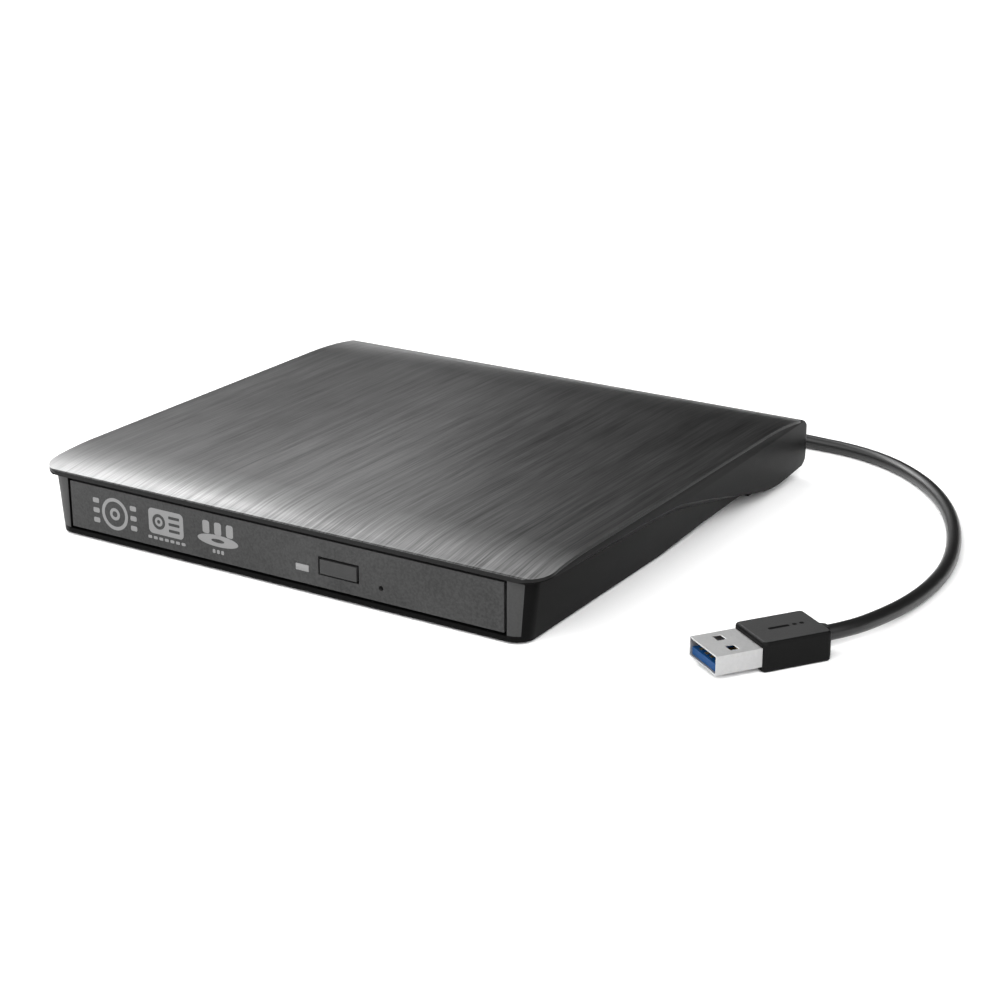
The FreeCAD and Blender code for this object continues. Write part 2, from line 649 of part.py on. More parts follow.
def make_deck():
    """Steel deck of the mechanism with the hub hole, the pickup's window and rod supports."""
    points = [(-18, -20), (56, -20), (67.5, -14.8), (67.5, 14.8), (56, 20), (13, 20), (13, 13.4),
              (-18, 13.4)]
    plate = prism("deck_plate", "XY_Plane", points, 0.8, offset=6.2, symmetric=False, seated=False)
    hub = deck_cylinder("deck_hub", (0, 0, 5), 10.6, 4)
    window = deck_block("deck_window", (14.8, 64.5), (-12.0, 12.0), (5, 8))
    holes = [deck_cylinder(f"deck_hole_{number}", (x, y, 5), 1.1, 4)
             for number, (x, y) in enumerate(BUSH_PLACES)]
    rods = [deck_cylinder(f"deck_rod_hole_{number}", (0, f"{side} * rod_across", "rod_up"),
                          "rod_radius + 0.02", 80, along=True) for number, side in enumerate((-1, 1))]
    supports = [deck_block(f"deck_support_{number}", (65.6, 67.4), (y - 1.6, y + 1.6), (3.6, 6.3))
                for number, y in enumerate((-13.0, 13.0))]
    inner = [deck_block(f"deck_inner_{number}", (12.4, 13.6), (y - 1.6, y + 1.6), (3.6, 6.3))
             for number, y in enumerate((-13.8, 13.8))]
    bearing = deck_block("screw_bearing", (57.2, 58.8), (15.9, 18.9), (3.8, 6.3))
    screw_bore = deck_cylinder("screw_bore", (50, "screw_across", 5.1), 0.75, 20, along=True)
    motor_clip = deck_block("motor_clip", (10.2, 11.0), (15.6, 19.2), (3.6, 6.3))
    tab = deck_block("motor_tab", (10.2, 13.5), (13.0, 19.6), (6.2, 7.0))
    clip_bore = deck_cylinder("clip_bore", (9.0, "screw_across", 5.1), 0.9, 4, along=True)
    whole = union("deck_whole", [plate, bearing, motor_clip, tab] + supports + inner)
    return deck_place(cut("mechanism_deck", whole, hub, window, screw_bore, clip_bore, *holes, *rods))


def make_bushes():
    bushes = []
    for number, (x, y) in enumerate(BUSH_PLACES):
        ring = deck_cylinder(f"bush_ring_{number}", (x, y, 7.0), 2.3, 1.08)
        hole = deck_cylinder(f"bush_hole_{number}", (x, y, 6.0), 1.1, 4)
        bushes.append(cut(f"bush_{number}", ring, hole))
    return deck_place(group("isolation_bushes", bushes))


def make_deck_screws():
    screws = []
    for number, (x, y) in enumerate(BUSH_PLACES):
        head = deck_cylinder(f"deck_screw_head_{number}", (x, y, 5.4), 1.5, 0.8)
        shank = deck_cylinder(f"deck_screw_shank_{number}", (x, y, 6.1), 0.95, 2.6)
        screws.append(union(f"deck_screw_{number}", [head, shank]))
    return deck_place(group("deck_screws", screws))


def make_motor_base():
    """Stator and base of the spindle motor, with the bearing for its shaft."""
    stator = deck_cylinder("stator", (0, 0, 3.4), 10.2, 2.6)
    bearing = deck_cylinder("bearing", (0, 0, 3.4), 2.2, 4.4)
    ears = deck_block("motor_ears", (-16, -9), (-6, 6), (5.6, 6.2))
    bore = deck_cylinder("bearing_bore", (0, 0, 3.9), 1.05, 6)
    return deck_place(cut("spindle_motor_base", union("motor_whole", [stator, bearing, ears]), bore))


def make_turntable():
    """Rotor bell, disc seat and hub on one shaft."""
    shaft = deck_cylinder("spindle_shaft", (0, 0, 4.1), 1.0, 5)
    bell = deck_cylinder("rotor_bell", (0, 0, 6.25), 10.0, 2.75)
    bell_room = deck_cylinder("rotor_room", (0, 0, 6.0), 9.4, 2.3)
    shell = cut("rotor_shell", bell, bell_room)
    seat = deck_cylinder("disc_seat", (0, 0, 8.9), 12.8, 0.75)
    hub = deck_cylinder("disc_hub", (0, 0, 9.6), "hub_radius", 1.3)
    nose = deck_cylinder("disc_nose", (0, 0, 10.9), "hub_radius", 0.7, radius_end=5.6)
    slots = [deck_block(f"claw_slot_{number}", (3.6, 9.0), (-1.3, 1.3), (10.15, 11.05))
             for number in range(3)]
    for number, slot in enumerate(slots):
        turned_slot(slot, 120 * number, (3.6, -1.3, 10.15))
    return deck_place(cut("turntable", union("turntable_whole", [shaft, shell, seat, hub, nose]), *slots))


def turned_slot(piece, degrees, corner):
    """Turn a box about the spindle; its corner is given before the turn."""
    for name in ("x", "y", "z"):
        piece.setExpression("Placement.Base." + name, None)
    turn = FreeCAD.Rotation(Vector(0, 0, 1), degrees)
    piece.Placement = FreeCAD.Placement(turn.multVec(Vector(*corner)), turn)
    return piece


def make_turntable_ring():
    outer = deck_cylinder("ring_outer", (0, 0, 9.65), 12.5, 0.3)
    inner = deck_cylinder("ring_inner", (0, 0, 9.0), 10.4, 2)
    return deck_place(cut("turntable_ring", outer, inner))


def make_claws():
    claws = []
    for number in range(3):
        claw = deck_block(f"claw_{number}", (3.9, 7.3), (-1.1, 1.1), (10.25, 10.95))
        claws.append(turned_slot(claw, 120 * number, (3.9, -1.1, 10.25)))
    return deck_place(group("clamp_claws", claws))


def make_guide_rod(side):
    name = "guide_rod_main" if side > 0 else "guide_rod_side"
    rod = deck_cylinder(name + "_bar", (12.6, f"{side} * rod_across", "rod_up"), "rod_radius", 54.6,
                        along=True)
    return deck_place(group(name, [rod]))


def make_sled_motor():
    body = deck_cylinder("motor_can", (2.0, "screw_across", 5.1), 1.95, 8.0, along=True)
    shaft_bore = deck_cylinder("motor_bore", (9.0, "screw_across", 5.1), 0.75, 20, along=True)
    return deck_place(cut("sled_motor", body, shaft_bore))


def make_lead_screw():
    shank = deck_cylinder("screw_shank", (9.2, "screw_across", 5.1), 0.7, 49.4, along=True)
    thread = deck_cylinder("screw_thread", (11.3, "screw_across", 5.1), 1.1, 45.6, along=True)
    return deck_place(union("lead_screw", [shank, thread]))


def make_pickup_sled():
    """Carriage on the two rods, with the pocket of the lens actuator."""
    lower = deck_block("sled_lower", (15.6, 33.6), (-16.0, 15.6), (3.5, 5.95))
    upper = deck_block("sled_upper", (16.2, 33.2), (-11.4, 11.4), (5.9, 8.1))
    pocket = deck_block("sled_pocket", (19.4, 29.6), (-6.0, 6.0), (6.4, 9.0))
    bores = [deck_cylinder(f"sled_bore_{number}", (10, f"{side} * rod_across", "rod_up"),
                           "rod_radius + 0.04", 60, along=True) for number, side in enumerate((-1, 1))]
    return deck_place(cut("pickup_sled", union("sled_whole", [lower, upper]), pocket, *bores))


def make_follower():
    """Arm from the sled that rides on the lead screw."""
    arm = deck_block("follower_arm", (20.0, 26.5), (15.6, 18.9), (3.2, 5.1))
    bore = deck_cylinder("follower_bore", (15, "screw_across", 5.1), 1.18, 20, along=True)
    return deck_place(cut("screw_follower", arm, bore))


def make_lens_cover():
    plate = deck_block("cover_plate", (16.6, 32.8), (-10.8, 10.8), (8.1, 8.35))
    opening = deck_block("cover_opening", (19.2, 29.8), (-6.2, 6.2), (7, 10))
    return deck_place(cut("lens_cover", plate, opening))


def make_magnets():
    magnets = [deck_block(f"magnet_{number}", (x, x + 1.1), (-3.4, 3.4), (6.4, 8.0))
               for number, x in enumerate((19.4, 28.5))]
    return deck_place(group("focus_magnets", magnets))


def make_lens_holder():
    body = deck_block("holder_body", (21.0, 28.0), (-4.6, 4.6), (7.0, 8.3))
    seat = deck_cylinder("holder_seat", (24.5, 0, 7.8), 2.1, 2)
    return deck_place(cut("lens_holder", body, seat))


def make_lens():
    disc = deck_cylinder("lens_disc", (24.5, 0, 7.8), 2.1, 0.5)
    dome = deck_cylinder("lens_dome", (24.5, 0, 8.3), 2.1, 0.4, radius_end=1.2)
    return deck_place(union("objective_lens", [disc, dome]))


# ---------------------------------------------------------------- tray front
def make_front_board():
    return block("front_board", (2, 38), (5.8, 13.0), (3.7, 4.3))


def make_eject_switch():
    return block("eject_switch", (15.6, 21.6), (5.8, 9.0), (4.3, 7.0))


def make_led_lens():
    window = block("led_window", (6.1, 9.9), (-0.02, 2.6), (5.0, 6.65))
    light_pipe = block("led_pipe", (6.9, 9.1), (2.5, 6.2), (5.1, 6.2))
    return union("led_lens", [window, light_pipe])


def make_eject_button():
    cap = block("button_cap", (13.1, 24.1), (-0.3, 2.4), (5.3, 9.35))
    flange = block("button_flange", (12.4, 24.8), (2.4, 3.2), (4.6, 9.8))
    stem = block("button_stem", (17.2, 20.0), (3.1, 4.9), (4.9, 6.7))
    return union("eject_button", [cap, flange, stem])


def make_button_spring():
    ring = cylinder("spring_ring", (22.6, 3.25, 6.2), 0.9, 2.4, axis="y")
    hole = cylinder("spring_hole", (22.6, 3.0, 6.2), 0.6, 4, axis="y")
    return cut("button_spring", ring, hole)


def make_solenoid():
    core = cylinder("solenoid_core", (33.5, 27.0, 5.4), 1.0, 12.0, axis="x")
    coil = cylinder("solenoid_coil", (35.0, 27.0, 5.4), 2.1, 7.5, axis="x")
    yoke = block("solenoid_yoke", (33.0, 34.0), (24.4, 29.6), (3.3, 7.4))
    return union("latch_solenoid", [core, coil, yoke])


LATCH_PIVOT = (52.0, 20.0)


def make_latch_lever():
    """Hook that swings behind the latch post; drawn in its released position."""
    arm = block("lever_arm", (46.2, 49.0), (21.0, 36.2), (3.4, 4.6))
    hook = block("lever_hook", (45.2, 47.0), (34.6, 36.2), (3.4, 4.6))
    link = block("lever_link", (46.2, 53.8), (18.2, 22.0), (3.4, 4.6))
    hub = cylinder("lever_hub", (*LATCH_PIVOT, 3.4), 2.2, 1.2)
    bore = cylinder("lever_bore", (*LATCH_PIVOT, 3.0), 0.85, 3)
    return cut("latch_lever", union("lever_whole", [arm, hook, link, hub]), bore)


def make_latch_pin():
    shaft = cylinder("pin_shaft", (*LATCH_PIVOT, 3.3), 0.8, 4.8)
    head = cylinder("pin_head", (*LATCH_PIVOT, 2.85), 1.6, 0.5)
    return union("latch_pin", [shaft, head])


# ---------------------------------------------------------------- make, check and write
panel = make_top_panel()
subparts = [panel, make_upper_frame(panel), make_cable_channel(), make_base_shell(), make_feet(),
            make_case_screws(), make_bridge_board(), make_bridge_chips(), make_bridge_plug(),
            make_sata_socket(), make_inner_wires(), make_cable_gland(), make_usb_cable(), *make_plug(),
            make_drive_pan(), make_drive_lid(), make_drive_screws(), make_rail_guide(1), make_rail_guide(-1),
            make_rail(1), make_rail(-1), make_main_board(), make_board_chips(), make_flex_connector(),
            make_flex_cable(), make_latch_post(), make_tray(), make_tray_bezel(), make_under_plate(),
            make_tray_screws(), make_deck(), make_bushes(), make_deck_screws(), make_motor_base(),
            make_turntable(), make_turntable_ring(), make_claws(), make_guide_rod(1), make_guide_rod(-1),
            make_sled_motor(), make_lead_screw(), make_pickup_sled(), make_follower(), make_lens_cover(),
            make_magnets(), make_lens_holder(), make_lens(), make_front_board(), make_eject_switch(),
            make_led_lens(), make_eject_button(), make_button_spring(), make_solenoid(), make_latch_lever(),
            make_latch_pin()]
doc.recompute()

failed = [item.Name for item in doc.Objects if {"Invalid", "Error"} & set(item.State)]
failed += [part.Name for part in subparts if part.Shape.isNull() or not part.Shape.isValid()]
if failed:
    raise RuntimeError("failed pieces: " + ", ".join(failed))

os.makedirs("parts", exist_ok=True)
for part in subparts:
    part.Label = part.Name
    part.Shape.exportStep(f"parts/{part.Label}.step")
    bounds = part.Shape.BoundBox
    print(f"{part.Label:20s} solids {len(part.Shape.Solids)} volume {part.Shape.Volume:9.1f}",
          [round(number, 1) for number in (bounds.XMin, bounds.YMin, bounds.ZMin, bounds.XMax,
                                           bounds.YMax, bounds.ZMax)])
print(len(subparts), "sub-parts written")
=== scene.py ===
# %% [markdown]
# # A slim external optical drive
#
# The drive is a flat case with a brushed lid, a rounded roll along its back and a short captive
# cable with a USB plug.  The CAD frame already holds every piece at its real size and place.
# Here each piece gets softened edges, small details and a finish worth looking at.
# The camera and the cable come first, because they decide how everything else is seen.

# %% Load the frame
import json
import math

import bpy
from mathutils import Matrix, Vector


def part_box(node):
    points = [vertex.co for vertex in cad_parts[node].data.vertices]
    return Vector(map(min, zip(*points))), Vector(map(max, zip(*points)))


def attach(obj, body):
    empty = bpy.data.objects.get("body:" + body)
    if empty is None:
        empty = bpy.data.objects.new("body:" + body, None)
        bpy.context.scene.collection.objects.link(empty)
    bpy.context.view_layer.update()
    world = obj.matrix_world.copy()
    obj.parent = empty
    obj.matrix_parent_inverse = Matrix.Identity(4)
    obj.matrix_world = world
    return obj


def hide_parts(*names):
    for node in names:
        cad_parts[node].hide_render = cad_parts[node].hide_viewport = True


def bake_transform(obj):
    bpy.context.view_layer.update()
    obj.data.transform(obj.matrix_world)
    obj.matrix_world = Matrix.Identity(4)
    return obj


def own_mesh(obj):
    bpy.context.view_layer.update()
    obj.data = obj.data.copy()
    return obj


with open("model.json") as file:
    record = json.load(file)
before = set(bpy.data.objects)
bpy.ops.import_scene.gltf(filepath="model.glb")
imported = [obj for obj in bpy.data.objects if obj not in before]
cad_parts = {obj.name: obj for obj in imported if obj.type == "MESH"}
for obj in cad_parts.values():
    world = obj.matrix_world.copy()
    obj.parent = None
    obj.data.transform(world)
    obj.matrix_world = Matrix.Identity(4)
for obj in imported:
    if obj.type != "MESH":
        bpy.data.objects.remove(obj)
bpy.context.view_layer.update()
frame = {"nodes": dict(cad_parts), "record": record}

MM = 0.001
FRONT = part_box("tray_bezel")[0].y       # outer face of the drawer front
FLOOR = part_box("base_shell")[0].z       # underside of the base, above the table on its feet
BODY_OF = {node: body for body, nodes in frame["record"]["behaviour"]["bodies"].items() for node in nodes}
print("case stands", round(FLOOR / MM, 2), "mm above the table on its feet")

# %% [markdown]
# ## Camera
#
# A medium telephoto lens (about 79 mm) from half a metre keeps the sides of the case nearly
# parallel.  The camera is turned by two angles only, down and to the left, so uprights stay
# upright.

# %% Camera
PITCH_DOWN = 20.105                     # degrees
TURN_LEFT = 31.881                      # degrees
FOCAL_LENGTH = 78.57                    # millimetres, on a 36 mm sensor
CAMERA_ACROSS = 0.2987                  # to the right of the middle of the drive
CAMERA_AHEAD = 0.3794                   # in front of the drawer front
CAMERA_ABOVE = 0.1968                   # above the underside of the base
camera_data = bpy.data.cameras.new("camera")
camera_data.sensor_width = 36
camera_data.lens = FOCAL_LENGTH
camera = bpy.data.objects.new("camera", camera_data)
camera.location = (CAMERA_ACROSS, FRONT - CAMERA_AHEAD, FLOOR + CAMERA_ABOVE)
camera.rotation_euler = (math.radians(90 - PITCH_DOWN), 0, math.radians(TURN_LEFT))
bpy.context.scene.collection.objects.link(camera)
bpy.context.scene.camera = camera
print("camera at", [round(value, 3) for value in camera.location])

# %% [markdown]
# ## Small helpers for modelling
#
# Operators act on whatever is selected, so every step starts by selecting one object alone.
# `keep_edges_soft` finishes a mesh: a narrow bevel catches the light on real edges, and shading
# is smooth except across sharp corners.

# %% Selection and finishing helpers
def alone(piece):
    """Select one object and make it active."""
    if bpy.context.object and bpy.context.object.mode != "OBJECT":
        bpy.ops.object.mode_set(mode="OBJECT")
    bpy.ops.object.select_all(action="DESELECT")
    piece.select_set(True)
    bpy.context.view_layer.objects.active = piece


def apply_modifiers(piece):
    alone(piece)
    for modifier in list(piece.modifiers):
        bpy.ops.object.modifier_apply(modifier=modifier.name)


def settle(piece):
    """Move a piece's place into its mesh, so that its object sits at the origin."""
    alone(piece)
    bpy.ops.object.transform_apply(location=True, rotation=True, scale=True)


def keep_edges_soft(piece, width, segments=2, angle=32, smooth=38):
    """Bevel edges sharper than angle and shade smoothly across anything flatter than smooth."""
    if width > 0:
        bevel = piece.modifiers.new("edge", "BEVEL")
        bevel.width = width
        bevel.segments = segments
        bevel.limit_method = "ANGLE"
        bevel.angle_limit = math.radians(angle)
        bevel.use_clamp_overlap = True
        apply_modifiers(piece)
    alone(piece)
    bpy.ops.object.shade_smooth_by_angle(angle=math.radians(smooth))


def keep_faces_flat(piece):
    """Let large faces decide the normals next to them, so that a flat face reflects as a flat face."""
    level = piece.modifiers.new("level", "WEIGHTED_NORMAL")
    level.keep_sharp = True
    apply_modifiers(piece)


def join(pieces, name):
    alone(pieces[0])
    for piece in pieces:
        piece.select_set(True)
    if len(pieces) > 1:
        bpy.ops.object.join()
    pieces[0].name = name
    return pieces[0]


# %% [markdown]
# ## Start from the CAD shape
#
# Most pieces already have the right form.  `from_cad` copies a node's mesh, merges its loose
# triangles, dissolves flat faces and rounds the edges.  The copy then stands for the node.

# %% Copy a CAD node as a clean mesh
def from_cad(node, edge=0.15, segments=2, angle=32, smooth=38):
    """A merged, softened copy of a CAD node; edge is the bevel's width in millimetres."""
    mesh = frame["nodes"][node].data.copy()
    mesh.materials.clear()
    piece = bpy.data.objects.new(node + "_finished", mesh)
    bpy.context.scene.collection.objects.link(piece)
    alone(piece)
    bpy.ops.object.mode_set(mode="EDIT")
    bpy.ops.mesh.select_all(action="SELECT")
    bpy.ops.mesh.remove_doubles(threshold=0.000002)
    bpy.ops.mesh.dissolve_limited(angle_limit=math.radians(0.6))
    bpy.ops.object.mode_set(mode="OBJECT")
    keep_edges_soft(piece, edge * MM, segments, angle, smooth)
    return piece


FINISHED = set()


def stands_for(piece, node, material):
    """Give a finished piece its material and let it ride and stand for its CAD node."""
    FINISHED.add(node)
    piece.data.materials.clear()
    piece.data.materials.append(material)
    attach(piece, BODY_OF[node])
    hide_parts(node)


def second_finish(piece, material, wanted):
    """Give the faces that pass a test a second finish."""
    piece.data.materials.append(material)
    chosen = [face for face in piece.data.polygons if wanted(face)]
    for face in chosen:
        face.material_index = 1
    return len(chosen)


def rides_with(piece, node, material):
    """A detail that rides with the body of a CAD node."""
    piece.data.materials.clear()
    piece.data.materials.append(material)
    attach(piece, BODY_OF[node])


# %% [markdown]
# ## Finishes
#
# Moulded plastic is never one flat colour: spark-eroded texture breaks up its gloss and handling
# leaves faint smears.  Two node groups hold what the finishes share.  `moulded_grain` gives fine
# texture and slow variation.  `hairlines` gives the long parallel scratches of a brushed face.
# They put out only colours and values; each material keeps its own shader.

# %% Node group: moulded grain
def new_group(name, inputs, outputs):
    group = bpy.data.node_groups.new(name, "ShaderNodeTree")
    for label, kind, value in inputs:
        socket = group.interface.new_socket(label, in_out="INPUT", socket_type=kind)
        socket.default_value = value
    for label, kind in outputs:
        group.interface.new_socket(label, in_out="OUTPUT", socket_type=kind)
    return group


def make_node(tree, kind, **values):
    node = tree.nodes.new(kind)
    for name, value in values.items():
        setattr(node, name, value)
    return node


def noise(tree, source, scale, detail, roughness=0.55):
    """3-D noise on a vector; scale may be a number or a socket."""
    node = make_node(tree, "ShaderNodeTexNoise")
    tree.links.new(source, node.inputs["Vector"])
    if isinstance(scale, (int, float)):
        node.inputs["Scale"].default_value = scale
    else:
        tree.links.new(scale, node.inputs["Scale"])
    node.inputs["Detail"].default_value = detail
    node.inputs["Roughness"].default_value = roughness
    return node.outputs["Fac"]


def spread(tree, value, low_from, high_from, low_to, high_to):
    """Map a value from one span to another; the target ends may be sockets."""
    node = make_node(tree, "ShaderNodeMapRange")
    tree.links.new(value, node.inputs["Value"])
    ends = {"From Min": low_from, "From Max": high_from, "To Min": low_to, "To Max": high_to}
    for label, end in ends.items():
        if isinstance(end, (int, float)):
            node.inputs[label].default_value = end
        else:
            tree.links.new(end, node.inputs[label])
    return node.outputs["Result"]


def blend(tree, factor, first, second):
    node = make_node(tree, "ShaderNodeMix", data_type="RGBA")
    tree.links.new(factor, node.inputs["Factor"])
    for index, end in ((6, first), (7, second)):
        if isinstance(end, tuple):
            node.inputs[index].default_value = end
        else:
            tree.links.new(end, node.inputs[index])
    return node.outputs[2]


GRAIN_SHARE = 0.55                      # how much of the mask is fine grain; the rest is slow cloud


def build_grain_group():
    """Fine grain over slow clouds, mixed into one mask for the colour and the gloss."""
    tree = new_group(
        "moulded_grain",
        [("Scale", "NodeSocketFloat", 4000.0), ("Dark", "NodeSocketColor", (0, 0, 0, 1)),
         ("Light", "NodeSocketColor", (1, 1, 1, 1)), ("Roughness Low", "NodeSocketFloat", 0.4),
         ("Roughness High", "NodeSocketFloat", 0.6)],
        [("Color", "NodeSocketColor"), ("Roughness", "NodeSocketFloat"), ("Height", "NodeSocketFloat")])
    start = make_node(tree, "NodeGroupInput")
    end = make_node(tree, "NodeGroupOutput")
    place = make_node(tree, "ShaderNodeTexCoord").outputs["Object"]
    fine = noise(tree, place, start.outputs["Scale"], 3.0)
    slow = noise(tree, place, 55.0, 4.0, 0.6)
    grain = spread(tree, fine, 0.36, 0.64, 0.0, 1.0)
    cloud = spread(tree, slow, 0.3, 0.7, 0.0, 1.0)
    both = make_node(tree, "ShaderNodeMath", operation="MULTIPLY_ADD")
    tree.links.new(grain, both.inputs[0])
    both.inputs[1].default_value = GRAIN_SHARE
    share = make_node(tree, "ShaderNodeMath", operation="MULTIPLY")
    tree.links.new(cloud, share.inputs[0])
    share.inputs[1].default_value = 1 - GRAIN_SHARE
    tree.links.new(share.outputs[0], both.inputs[2])
    mask = both.outputs[0]
    tree.links.new(blend(tree, mask, start.outputs["Dark"], start.outputs["Light"]), end.inputs["Color"])
    rough = spread(tree, mask, 0.0, 1.0, start.outputs["Roughness Low"], start.outputs["Roughness High"])
    tree.links.new(rough, end.inputs["Roughness"])
    tree.links.new(grain, end.inputs["Height"])
    return tree


GRAIN = build_grain_group()

# %% Node group: hairlines
def build_hairline_group():
    """Parallel scratches along one axis: noise squeezed across the lines and drawn out along them."""
    tree = new_group(
        "hairlines",
        [("Fine", "NodeSocketVector", (2600.0, 70.0, 70.0)),
         ("Coarse", "NodeSocketVector", (800.0, 22.0, 22.0)),
         ("Coarse Share", "NodeSocketFloat", 0.45)],
        [("Mask", "NodeSocketFloat"), ("Cloud", "NodeSocketFloat"), ("Height", "NodeSocketFloat")])
    start = make_node(tree, "NodeGroupInput")
    end = make_node(tree, "NodeGroupOutput")
    place = make_node(tree, "ShaderNodeTexCoord").outputs["Object"]
    layers = []
    for label in ("Fine", "Coarse"):
        stretch = make_node(tree, "ShaderNodeVectorMath", operation="MULTIPLY")
        tree.links.new(place, stretch.inputs[0])
        tree.links.new(start.outputs[label], stretch.inputs[1])
        layers.append(spread(tree, noise(tree, stretch.outputs["Vector"], 1.0, 2.0, 0.6), 0.33, 0.67, 0.0,
                             1.0))
    both = make_node(tree, "ShaderNodeMix", data_type="FLOAT")
    tree.links.new(start.outputs["Coarse Share"], both.inputs[0])
    tree.links.new(layers[0], both.inputs[2])
    tree.links.new(layers[1], both.inputs[3])
    tree.links.new(both.outputs[0], end.inputs["Mask"])
    tree.links.new(spread(tree, noise(tree, place, 28.0, 3.0, 0.55), 0.3, 0.7, 0.0, 1.0),
                   end.inputs["Cloud"])
    tree.links.new(both.outputs[0], end.inputs["Height"])
    return tree


HAIRLINES = build_hairline_group()

# %% [markdown]
# ## Materials
#
# One function makes a moulded finish from two near colours, a gloss range and a grain size.
# Metals use the same grain at a different scale, or the hairlines.

# %% Material builders
def new_material(name):
    material = bpy.data.materials.new(name)
    material.use_nodes = True
    tree = material.node_tree
    return material, tree, tree.nodes["Principled BSDF"]


def add_bump(tree, shader, height, strength, distance):
    bump = make_node(tree, "ShaderNodeBump")
    bump.inputs["Strength"].default_value = strength
    bump.inputs["Distance"].default_value = distance
    tree.links.new(height, bump.inputs["Height"])
    tree.links.new(bump.outputs["Normal"], shader.inputs["Normal"])


def grey(value, warmth=0.0):
    return (value * (1 + warmth), value, value * (1 - warmth), 1.0)


def moulded(name, dark, light, rough=(0.4, 0.6), grain=4000.0, bump=0.25, depth=0.00002, metallic=0.0,
            specular=0.5, coat=0.0):
    """Moulded plastic, rubber or cast metal with a fine surface grain."""
    material, tree, shader = new_material(name)
    group = make_node(tree, "ShaderNodeGroup", node_tree=GRAIN)
    group.inputs["Scale"].default_value = grain
    group.inputs["Dark"].default_value = dark
    group.inputs["Light"].default_value = light
    group.inputs["Roughness Low"].default_value = rough[0]
    group.inputs["Roughness High"].default_value = rough[1]
    tree.links.new(group.outputs["Color"], shader.inputs["Base Color"])
    tree.links.new(group.outputs["Roughness"], shader.inputs["Roughness"])
    shader.inputs["Metallic"].default_value = metallic
    shader.inputs["Specular IOR Level"].default_value = specular
    shader.inputs["Coat Weight"].default_value = coat
    shader.inputs["Coat Roughness"].default_value = 0.15
    add_bump(tree, shader, group.outputs["Height"], bump, depth)
    return material


def brushed(name, dark, light, fine, coarse, rough, metallic=0.9, bump=0.2, depth=0.00001, share=0.45):
    """Brushed face: hairlines in the colour and the height, and a slow handled cloud in the gloss."""
    material, tree, shader = new_material(name)
    group = make_node(tree, "ShaderNodeGroup", node_tree=HAIRLINES)
    group.inputs["Fine"].default_value = fine
    group.inputs["Coarse"].default_value = coarse
    group.inputs["Coarse Share"].default_value = share
    tree.links.new(blend(tree, group.outputs["Mask"], dark, light), shader.inputs["Base Color"])
    clouded = spread(tree, group.outputs["Cloud"], 0.0, 1.0, rough[0], rough[1])
    tree.links.new(clouded, shader.inputs["Roughness"])
    shader.inputs["Metallic"].default_value = metallic
    add_bump(tree, shader, group.outputs["Height"], bump, depth)
    return material


# %% The finishes of this drive
LID_FINISH = brushed("lid_hairline_black", grey(0.016), grey(0.100), (2900.0, 55.0, 55.0),
                     (820.0, 16.0, 16.0),
                     (0.31, 0.36), metallic=0.85, bump=0.3)
LIP_FINISH = moulded("lid_edge_satin", grey(0.005), grey(0.007), (0.30, 0.36), 900.0, 0.03, specular=0.12)
CASE_FINISH = moulded("case_satin_black", grey(0.0016), grey(0.0028), (0.32, 0.40), 5200.0, 0.06,
                      specular=0.04)
# Front faces of the posts: a real coarser grain, in a grey about ten times lighter than the case as painted
# light from the front.
RIM_TEXTURE_AND_PAINTED_LIGHT = moulded("front_rim_texture_painted_light", grey(0.016), grey(0.024), (0.45, 0.60), 1800.0, 0.3, 0.00003,
                     specular=0.3)
BEZEL_FINISH = moulded("drawer_front_texture", grey(0.008), grey(0.028), (0.55, 0.70), 1500.0, 0.6, 0.00005,
                       specular=0.3)
BUTTON_FINISH = moulded("button_satin", grey(0.013), grey(0.021), (0.42, 0.55), 2400.0, 0.3, specular=0.3)
TRAY_FINISH = moulded("tray_texture", grey(0.009), grey(0.016), (0.50, 0.66), 3000.0, 0.4, 0.00004)
INK_FINISH = moulded("printed_ink", grey(0.11), grey(0.145), (0.5, 0.6), 4200.0, 0.1)
LIGHT_FINISH = moulded("light_window", grey(0.12), grey(0.155), (0.25, 0.35), 4200.0, 0.1)
CABLE_FINISH = moulded("cable_jacket_satin", grey(0.0045), grey(0.0075), (0.32, 0.42), 2600.0, 0.12,
                       specular=0.4)
GRIP_FINISH = moulded("plug_grip_satin", grey(0.003), grey(0.0045), (0.40, 0.50), 3600.0, 0.2,
                      specular=0.06)
# Matte top of the plug grip, painted several times lighter than the satin sides as light falling from
# above.
GRIP_TOP_MATTE_AND_PAINTED_LIGHT = moulded("plug_grip_matte_painted_light", grey(0.013), grey(0.023), (0.55, 0.65), 2200.0, 0.4, 0.00003,
                          specular=0.3)
RUBBER_FINISH = moulded("rubber_matte", grey(0.012), grey(0.022), (0.7, 0.85), 2400.0, 0.4)
PLUG_METAL = moulded("plug_nickel", grey(0.40), grey(0.46), (0.48, 0.56), 1500.0, 0.05, 0.00001,
                     metallic=1.0)
TONGUE_FINISH = moulded("plug_tongue_blue", (0.0015, 0.032, 0.11, 1), (0.0025, 0.043, 0.14, 1), (0.45, 0.6),
                        3000.0, 0.15, specular=0.15)
GOLD_FINISH = moulded("gold_flash", (0.72, 0.46, 0.16, 1), (0.86, 0.60, 0.24, 1), (0.22, 0.34), 2500.0,
                      0.05,
                      metallic=1.0)
SHEET_STEEL = brushed("zinc_sheet", grey(0.20), grey(0.34), (420.0, 8.0, 8.0), (90.0, 5.0, 5.0),
                      (0.34, 0.5),
                      metallic=1.0, bump=0.08)
BRIGHT_STEEL = moulded("ground_steel", grey(0.42), grey(0.54), (0.20, 0.32), 2600.0, 0.06, 0.00001,
                       metallic=1.0)
BLACK_STEEL = moulded("black_zinc", grey(0.045), grey(0.075), (0.35, 0.5), 2600.0, 0.1, metallic=0.8)
